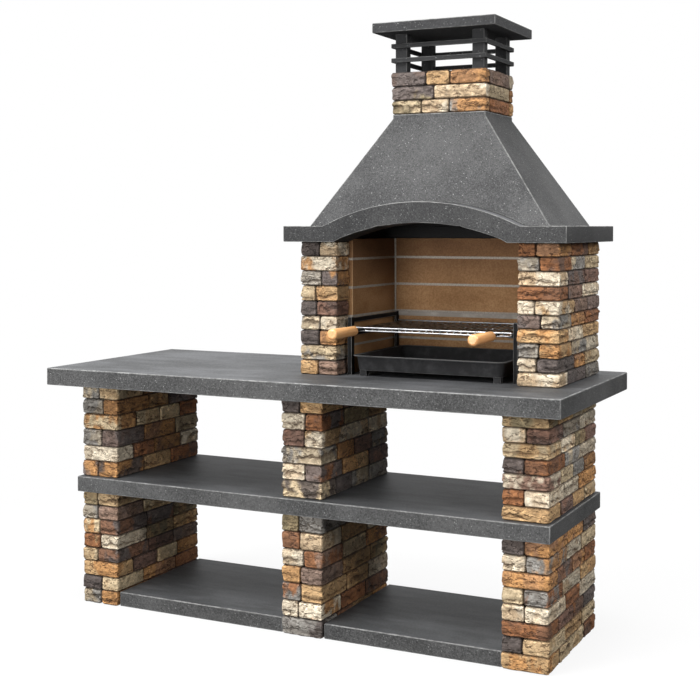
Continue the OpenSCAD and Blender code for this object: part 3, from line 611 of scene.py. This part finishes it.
# The colours of the stones in the front of each wall, from the top course down and from left to
# right, read from the photograph. A second colour shows in patches of its stone. Some walls have
# their stones painted darker as painted shade, where a wall stands in more light, and the stones
# that don't show in front vary more.
front_light = (1.05, 1.4)
hidden_light = (0.85, 1.55)
patched_share = 0.95
layered_shares = [0.15, 0.35, 0.65]
first_wall_seed = 11
wall_painted_shades = {"chimney_collar": 0.78, "pier_left_lower": 0.82, "pier_left_upper": 0.92,
               "column_left": 0.87, "column_right": 0.94, "pier_middle_lower": 0.93}
stone_fronts = {
    "pier_left_upper": "grey|beige grey|orange beige/orange grey|purple cream "
                       "purple/orange|orange/dark",
    "pier_left_lower": "olive|beige grey|rose beige/orange|purple rust/tan|cream beige|purple "
                       "orange/tan dark|beige grey|orange",
    "pier_middle_upper": "dark|tan cream|purple/rust red_brown|cream/tan grey cream|rust/purple "
                         "beige/dark",
    "pier_middle_lower": "olive|grey rust|cream cream|rose/rust tan|rose grey/rust|tan "
                         "cream|cream/orange dark/grey",
    "pier_right_upper": "olive cream|red_brown tan/beige purple|rust cream/red_brown rust|cream "
                        "tan",
    "pier_right_lower": "dark|orange cream|grey/orange orange beige/tan|grey/rust cream|cream "
                        "rust dark|beige orange/tan",
    "column_left": "dark|cream cream/orange grey|purple/orange beige|tan dark|red_brown "
                   "grey|cream dark|orange beige/grey tan|rose",
    "column_right": "rust|orange grey|rust cream rust cream|cream/tan purple|grey orange/tan "
                    "grey|orange/tan cream|dark cream",
    "chimney_collar": "purple|tan|orange purple/olive|cream olive/beige|cream|grey/orange",
}


def front_colours(boxes, low, laid):
    """The colours of the stones at the front, by their place in the list of boxes."""
    found = {}
    courses = [course.split("|") for course in laid.split()]
    levels = sorted({round(a.z, 3) for a, _ in boxes}, reverse=True)
    for level, course in zip(levels, courses):
        here = [i for i, (a, _) in enumerate(boxes)
                if round(a.z, 3) == level and a.y - low.y < joint_reach]
        here.sort(key=lambda i: boxes[i][0].x)
        for place, i in enumerate(here):
            found[i] = course[min(place, len(course) - 1)]
    return found


def lay_stones(name, seed, shade):
    """The stones of one wall, each with its own colours and breaks."""
    boxes = loose_boxes(name)
    low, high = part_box(name)
    luck = random.Random(seed)
    fronts = front_colours(boxes, low, stone_fronts[name])
    names = list(stone_colours)
    shares = [stone_shares[n] for n in names]
    values = {label: [] for label in ("half", "low_out", "high_out", "mark", "tone", "partner",
                                      "layered")}
    for i, (a, b) in enumerate(boxes):
        by_chance = luck.choices(names, shares)[0]
        layered = luck.choice(layered_shares)
        laid = fronts.get(i, by_chance).split("/")
        # A wall's shade darkens all its stones: painted shade.
        light = luck.uniform(*(front_light if i in fronts else hidden_light)) * shade
        values["half"].append((b - a) / 2)
        values["low_out"].append([float(a[k] - low[k] < joint_reach) for k in (0, 1)] + [0.0])
        values["high_out"].append([float(high[k] - b[k] < joint_reach) for k in (0, 1)] + [0.0])
        values["mark"].append(luck.uniform(0, 500))
        values["tone"].append([c * light for c in paint(stone_colours[laid[0]])[:3]])
        partner = laid[1] if len(laid) > 1 else stone_partners[laid[0]]
        values["partner"].append([c * light for c in paint(stone_colours[partner])[:3]])
        values["layered"].append(patched_share if len(laid) > 1 else layered)
    mesh = points_mesh(name, [(a + b) / 2 for a, b in boxes], **values)
    wall = grown("stones_" + name, mesh, split_stones, steps_x=stone_steps[0],
                 steps_y=stone_steps[1], steps_z=stone_steps[2], corner=stone_corner,
                 swell=stone_swell, lean=stone_lean, ledge=stone_ledge, hollow=stone_hollow,
                 material=split_stone)
    return settle(wall, "masonry", [name])


for number, wall_name in enumerate(stone_fronts):
    lay_stones(wall_name, first_wall_seed + number, wall_painted_shades.get(wall_name, 1.0))

# The lining: fireclay boards stacked at the back and the sides of the fire, with joints of grey
# fire cement between them. Towards the hood they are painted darker: painted shade. The rear panel
# is cast concrete.
board_arris = 0.0026
cement_height = 0.0098
cement_proud = 0.0003
cement_arris = 0.0008
corner_strip = 0.0065
hood_shade_reach = (1.14, 1.38)
hood_shade_tint = (0.42, 0.36, 0.31, 1)
clay_grain_tint = (0.72, 0.66, 0.60, 1)


def fireclay_finish():
    """Pressed fireclay, grainy and specked, with painted shade towards the hood and a painted
    highlight on its arrises.
    """
    material, tree, shader = new_finish("fireclay", 0.85)
    spot = object_place(tree)
    cloud = noise(tree, spot * (1.0, 1.0, 2.0), 7.0, 4.0, 0.6, 2.0)
    grain = noise(tree, spot, 170.0, 4.0, 0.75, 4.0)
    speck = noise(tree, spot, 120.0, 2.0, 0.6, 6.0)
    body = mixed(tree, smooth(tree, cloud, 0.3, 0.7), paint("8f6a44"), paint("aa835a"))
    body = mixed(tree, smooth(tree, grain, 0.38, 0.62, 1.0, 0.0), body, clay_grain_tint,
                 "MULTIPLY")
    body = mixed(tree, smooth(tree, speck, 0.64, 0.72, 0.0, 0.5), body, paint("7b5a3e"))
    # Pale on the arrises of the boards: a painted highlight.
    body = mixed(tree, carried(tree, "edge")[0] * 0.4, body, paint("d9b78c"))
    # Darker towards the hood: painted shade.
    high_up = smooth(tree, spot.parts()[2] + (cloud - 0.5) * 0.12, *hood_shade_reach, 0.0, 0.9)
    body = mixed(tree, high_up, body, hood_shade_tint, "MULTIPLY")
    feed(tree, shader.inputs["Base Color"], body)
    set_bump(tree, shader, grain + speck, 0.35, 0.0008)
    return material


def cement_finish():
    """Grey fire cement with sand in it."""
    material, tree, shader = new_finish("fire_cement", 0.9)
    spot = object_place(tree)
    grain = noise(tree, spot, 200.0, 3.0, 0.7, 4.0)
    feed(tree, shader.inputs["Base Color"],
         mixed(tree, smooth(tree, grain, 0.3, 0.7), paint("857e76"), paint("aca498")))
    set_bump(tree, shader, grain, 0.5, 0.001)
    return material


fireclay = fireclay_finish()
fire_cement = cement_finish()
cement = bmesh.new()
for lining in ("firebrick_back", "firebrick_left", "firebrick_right"):
    form = bmesh.new()
    boards = loose_boxes(lining)
    for low, high in boards:
        rounded_box(form, low, high, board_arris)
    piece_of("boards_" + lining, form, fireclay, "masonry", [lining])
    proud = Vector((cement_proud, cement_proud, 0))
    for low, high in boards[:-1]:
        joint_low = Vector((low.x, low.y, high.z - cement_height / 2)) - proud
        joint_high = Vector((high.x, high.y, high.z + cement_height / 2)) + proud
        rounded_box(cement, joint_low, joint_high, cement_arris, 1)
back_low, back_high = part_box("firebrick_back")
for x in (back_low.x - cement_proud, back_high.x + cement_proud - corner_strip):
    strip_low = Vector((x, back_low.y - corner_strip / 2, back_low.z))
    strip_high = Vector((x + corner_strip, back_low.y + cement_proud, back_high.z))
    rounded_box(cement, strip_low, strip_high, cement_arris, 1)
piece_of("lining_cement", cement, fire_cement, "masonry")

form = bmesh.new()
rounded_box(form, *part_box("rear_panel"), slab_arris)
piece_of("cast_rear_panel", form, concrete, "masonry", ["rear_panel"])

# The visor slab with its arched brow and the hollow pyramid hood are cast of the same concrete.
# The hood stands on the visor in a bed of mortar, and the flue block stands on the hood.
hood_arris = 0.0035
chamfer_reach = 0.0032
flue_arris = 0.0015
sharp_turn = math.radians(50)
same_plane = math.radians(1)


def squared(form, planes):
    """Takes off the small chamfers that end at some planes, given in pairs for X, Y and Z, and
    makes the front one face."""
    for vertex in form.verts:
        for i, levels in enumerate(planes):
            for level in levels:
                if abs(vertex.co[i] - level) < chamfer_reach:
                    vertex.co[i] = level
    bmesh.ops.remove_doubles(form, verts=form.verts, dist=chamfer_reach * 0.4)
    flat = [face for face in form.faces
            if all(abs(vertex.co.y - planes[1][0]) < 1e-6 for vertex in face.verts)]
    bmesh.ops.delete(form, geom=flat, context="FACES")
    bmesh.ops.holes_fill(form, edges=[edge for edge in form.edges if edge.is_boundary])
    bmesh.ops.recalc_face_normals(form, faces=form.faces)


def worn_copy(name, node, material, body, radius, turn=sharp_turn, planes=None):
    """A copy of a node with its sharp arrises rounded and marked for pale paint, partly wear and
    partly a painted highlight.
    """
    form = bmesh.new()
    form.from_mesh(nodes[node].data)
    bmesh.ops.remove_doubles(form, verts=form.verts, dist=1e-5)
    if planes:
        squared(form, planes)
    bmesh.ops.dissolve_limit(form, angle_limit=same_plane, verts=form.verts, edges=form.edges)
    bmesh.ops.dissolve_degenerate(form, dist=radius * 0.65, edges=form.edges)
    worn = form.faces.layers.float.new("edge")
    for face in form.faces:
        face.smooth = len(face.verts) == 4
    sharp = [edge for edge in form.edges if edge.is_manifold and edge.calc_face_angle() > turn]
    made = bmesh.ops.bevel(form, geom=sharp, offset=radius, segments=arris_steps, profile=0.5,
                           affect="EDGES", clamp_overlap=True)
    for face in made["faces"]:
        face[worn] = 1.0
        face.smooth = True
    return piece_of(name, form, material, body, [node])


flue_low, flue_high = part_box("chimney_flue")
flue_axis = tuple((flue_low + flue_high) / 2)
hood_concrete = concrete_finish("hood_concrete", "2c2c2d", "575757", 1.6, 0.0, arris="8c8c8a",
                                hood_inside_axis=flue_axis)
# The visor's concrete is a darker copy of the hood's: painted shade.
visor_concrete = concrete_finish("visor_concrete", "222223", "484848", 1.6, 1.0, arris="8c8c8a",
                                 hood_inside_axis=flue_axis)
visor_low, visor_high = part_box("hood_visor")
visor_planes = ((visor_low.x, visor_high.x), (visor_low.y, visor_high.y),
                (visor_low.z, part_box("hood_pyramid")[0].z))
worn_copy("cast_hood_visor", "hood_visor", visor_concrete, "masonry", hood_arris,
          planes=visor_planes)
worn_copy("cast_hood_pyramid", "hood_pyramid", hood_concrete, "masonry", hood_arris)
worn_copy("cast_chimney_flue", "chimney_flue", concrete, "masonry", flue_arris)

# Posts, louvre slats and cap of the chimney, cast of darker concrete. The slats are fixed to the
# outside of the posts, and the cap lies on the posts.
slat_arris = 0.0025
cap_arris = 0.003
dark_concrete = concrete_finish("dark_concrete", "1a1a1b", "2d2d2e", 0.5, 0.6, "2c2c2d",
                                "3c3c3d", "5a5a59")
cap_concrete = concrete_finish("cap_concrete", "1f1f20", "3e3e3f", 1.6, 0.6, "343435",
                               "4a4a4b", "787877")
for cast in ("chimney_posts", "louvre_front", "louvre_back", "louvre_left", "louvre_right",
             "chimney_cap"):
    form = bmesh.new()
    is_cap = cast == "chimney_cap"
    for low, high in loose_boxes(cast):
        rounded_box(form, low, high, cap_arris if is_cap else slat_arris)
    piece_of("cast_" + cast, form, cap_concrete if is_cap else dark_concrete, "masonry",
             [cast])

# The grill stand: two side frames welded of angle and flat steel, and a bar between them at the
# back, painted with black heat-proof paint.
steel_arris = 0.0009


def black_finish(name, shine, dark="0b0b0c", light="181819", worn_and_highlit="8c8c8a"):
    """Black paint or enamel with some dust on it, paler on its arrises: partly worn through,
    partly a painted highlight.
    """
    material, tree, shader = new_finish(name, shine)
    shader.inputs["Specular IOR Level"].default_value = 0.09
    spot = object_place(tree)
    peel = noise(tree, spot, 240.0, 3.0, 0.6, 3.0)
    dust = noise(tree, spot, 16.0, 5.0, 0.7, 5.0)
    body = mixed(tree, smooth(tree, dust, 0.42, 0.7), paint(dark), paint(light))
    # Pale on the arrises: partly wear, partly a painted highlight.
    body = mixed(tree, carried(tree, "edge")[0] * 0.7, body, paint(worn_and_highlit))
    feed(tree, shader.inputs["Base Color"], body)
    feed(tree, shader.inputs["Roughness"],
         smooth(tree, dust, 0.3, 0.7, shine - 0.08, shine + 0.16))
    set_bump(tree, shader, peel, 0.25, 0.0005)
    return material


black_paint = black_finish("black_paint", 0.52)
dusty_paint = black_finish("dusty_paint", 0.6, "938c84", "b3aba1")
for steel, coat in (("grill_stand_left", black_paint), ("grill_stand_right", black_paint),
                    ("grill_stand_rear_bar", dusty_paint)):
    worn_copy("painted_" + steel, steel, coat, "masonry", steel_arris)

# The grill: a bent rim rod, cross rods, bars and clamp rods of chromed steel, welded where they
# meet. Its two handle rods are painted black.
rod_sides = 16
rim_bend = 0.012
bend_steps = 8
weld_size = 0.0028
weld_flatness = 0.62
weld_sides = 8
weld_rings = 5


def rod_tree():
    """Grows a round rod along every run of edges, with its ends closed."""
    tree, given = new_group("round_rods", {"Radius": 0.003, "Bend": 0.0, "Sides": 16,
                                           "Material": None})
    runs = fit(tree, "GeometryNodeMeshToCurve", Mesh=given["Geometry"])
    bent = fit(tree, "GeometryNodeFilletCurve", {"mode": "POLY"}, Curve=out(tree, runs),
               Radius=given["Bend"], Count=bend_steps)
    ring = fit(tree, "GeometryNodeCurvePrimitiveCircle", Resolution=given["Sides"],
               Radius=given["Radius"])
    rods = fit(tree, "GeometryNodeCurveToMesh", Curve=out(tree, bent),
               Profile_Curve=out(tree, ring), Fill_Caps=True)
    close_group(tree, out(tree, rods), given["Material"])
    return tree


def weld_tree():
    """Grows a flat bead of weld on every point."""
    tree, given = new_group("weld_beads", {"Size": 0.0028, "Material": None})
    bead = fit(tree, "GeometryNodeMeshUVSphere", Segments=weld_sides, Rings=weld_rings,
               Radius=given["Size"])
    spread = fit(tree, "GeometryNodeInstanceOnPoints", Points=given["Geometry"],
                 Instance=out(tree, bead), Scale=(1.0, 1.0, weld_flatness))
    real = fit(tree, "GeometryNodeRealizeInstances", Geometry=out(tree, spread))
    close_group(tree, out(tree, real), given["Material"])
    return tree


def chrome_finish(name, dark, light):
    """Chromed steel, stained and dulled in patches."""
    material, tree, shader = new_finish(name, 0.34, 1.0)
    spot = object_place(tree)
    tint = noise(tree, spot, 30.0, 4.0, 0.6, 2.0)
    feed(tree, shader.inputs["Base Color"],
         mixed(tree, smooth(tree, tint, 0.4, 0.7), paint(light), paint(dark)))
    feed(tree, shader.inputs["Roughness"], smooth(tree, tint, 0.3, 0.7, 0.28, 0.46))
    set_bump(tree, shader, noise(tree, spot, 420.0, 2.0, 0.6, 7.0), 0.15, 0.0003)
    return material


def straight_rods(name, node, material):
    """Round rods where a node has its rods."""
    spots = []
    for low, high in loose_boxes(node):
        size = high - low
        axis = max(range(3), key=lambda i: size[i])
        radius = min(size) / 2
        start = (low + high) / 2
        end = start.copy()
        start[axis] = low[axis]
        end[axis] = high[axis]
        spots += [start, end]
    mesh = bpy.data.meshes.new(name)
    mesh.from_pydata(spots, [(i, i + 1) for i in range(0, len(spots), 2)], [])
    rods = grown(name, mesh, round_rods, radius=radius, sides=rod_sides, material=material)
    return settle(rods, "grill", [node])


round_rods = rod_tree()
chrome = chrome_finish("chromed_steel", "77787a", "9fa0a2")
# The bars are of a darker chrome than the rim, clamp and cross rods.
heated_chrome = chrome_finish("heated_chrome", "4c4a48", "85827e")
straight_rods("round_bars", "grill_bars", heated_chrome)
straight_rods("clamp_rods", "grill_clamp_rods", chrome)
straight_rods("cross_rods", "grill_cross_rods", chrome)
straight_rods("handle_rods", "grill_handle_rods", black_paint)

rim_low, rim_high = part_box("grill_rim")
rim_radius = (rim_high.z - rim_low.z) / 2
rim_inset = Vector((rim_radius, rim_radius, rim_radius))
near = rim_low + rim_inset
far = rim_high - rim_inset
rim_corners = [(near.x, near.y, near.z), (far.x, near.y, near.z), (far.x, far.y, near.z),
               (near.x, far.y, near.z)]
rim_mesh = bpy.data.meshes.new("rim")
rim_mesh.from_pydata(rim_corners, [(0, 1), (1, 2), (2, 3), (3, 0)], [])
rim = grown("bent_rim", rim_mesh, round_rods, radius=rim_radius, bend=rim_bend, sides=rod_sides,
            material=chrome)
settle(rim, "grill", ["grill_rim"])

bar_boxes = loose_boxes("grill_bars")
seam_ys = [near.y, far.y] + [(low.y + high.y) / 2 for low, high in loose_boxes("grill_cross_rods")]
weld_spots = [((low.x + high.x) / 2, y, (low.z + rim_high.z) / 2)
              for low, high in bar_boxes for y in seam_ys]
welds = grown("grill_welds", points_mesh("welds", weld_spots), weld_tree(), size=weld_size,
              material=chrome)
settle(welds, "grill")

# The two handles are turned of beech on a lathe and driven onto their rods: thicker at the outer
# end, with both ends rounded, and varnished.
handle_steps = 40
handle_waist = 0.90
outer_round = 0.010
inner_round = 0.004
round_steps = 6
taper_steps = 12


def beech_finish():
    """Beech with its grain along the handle, under a thin varnish."""
    material, tree, shader = new_finish("varnished_beech", 0.42)
    spot = object_place(tree)
    rings = noise(tree, spot * (1.0, 0.06, 1.0), 130.0, 3.0, 0.6, 2.0)
    flecks = noise(tree, spot * (1.0, 0.16, 1.0), 620.0, 2.0, 0.5, 4.0)
    broad = noise(tree, spot * (1.0, 0.06, 1.0), 34.0, 2.0, 0.5, 6.0)
    body = mixed(tree, smooth(tree, broad * 0.5 + rings * 0.5, 0.34, 0.66), paint("d09058"),
                 paint("eab67c"))
    body = mixed(tree, smooth(tree, flecks, 0.6, 0.72, 0.0, 0.45), body, paint("8f5d34"))
    feed(tree, shader.inputs["Base Color"], body)
    shader.inputs["Coat Weight"].default_value = 0.25
    shader.inputs["Coat Roughness"].default_value = 0.25
    set_bump(tree, shader, flecks + rings * 0.5, 0.12, 0.0004)
    return material


def handle_profile(length, radius):
    """Distance from the outer end and radius of a handle, from its outer end to its inner end."""
    profile = []
    for i in range(1, round_steps + 1):
        turn = math.pi / 2 * i / round_steps
        profile.append((outer_round * (1 - math.cos(turn)),
                        radius - outer_round * (1 - math.sin(turn))))
    reach = length - inner_round - outer_round
    for i in range(1, taper_steps + 1):
        slimmer = (1 - handle_waist) * (1 - math.cos(math.pi * i / taper_steps)) / 2
        profile.append((outer_round + reach * i / taper_steps, radius * (1 - slimmer)))
    waist = profile[-1][1]
    for i in range(1, round_steps + 1):
        turn = math.pi / 2 * i / round_steps
        profile.append((length - inner_round * (1 - math.sin(turn)),
                        waist - inner_round * (1 - math.cos(turn))))
    return profile


def turned_handle(name, node):
    """A handle turned about the Y axis, its outer end towards the cook."""
    low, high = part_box(node)
    centre = (low + high) / 2
    form = bmesh.new()
    turns = [2 * math.pi * k / handle_steps for k in range(handle_steps)]
    rings = []
    for away, radius in handle_profile(high.y - low.y, (high.z - low.z) / 2):
        rings.append([form.verts.new((centre.x + radius * math.cos(turn), low.y + away,
                                      centre.z + radius * math.sin(turn))) for turn in turns])
    for first, second in zip(rings, rings[1:]):
        for k in range(handle_steps):
            n = (k + 1) % handle_steps
            form.faces.new([first[k], first[n], second[n], second[k]]).smooth = True
    form.faces.new(rings[0])
    form.faces.new(rings[-1])
    bmesh.ops.recalc_face_normals(form, faces=form.faces)
    return piece_of(name, form, beech, "grill", [node])


beech = beech_finish()
turned_handle("turned_handle_left", "handle_left")
turned_handle("turned_handle_right", "handle_right")

# The fire tray is pressed from sheet steel with round corners and a turned rim, and stands on
# four channel feet. All of it is enamelled black.
tray_arris = 0.0012
tray_turn = math.radians(35)
enamel = black_finish("black_enamel", 0.6, "262627", "39393a", "686867")
worn_copy("enamelled_tray", "fire_tray", enamel, "tray", tray_arris, tray_turn)
worn_copy("enamelled_feet", "tray_feet", enamel, "tray", steel_arris)
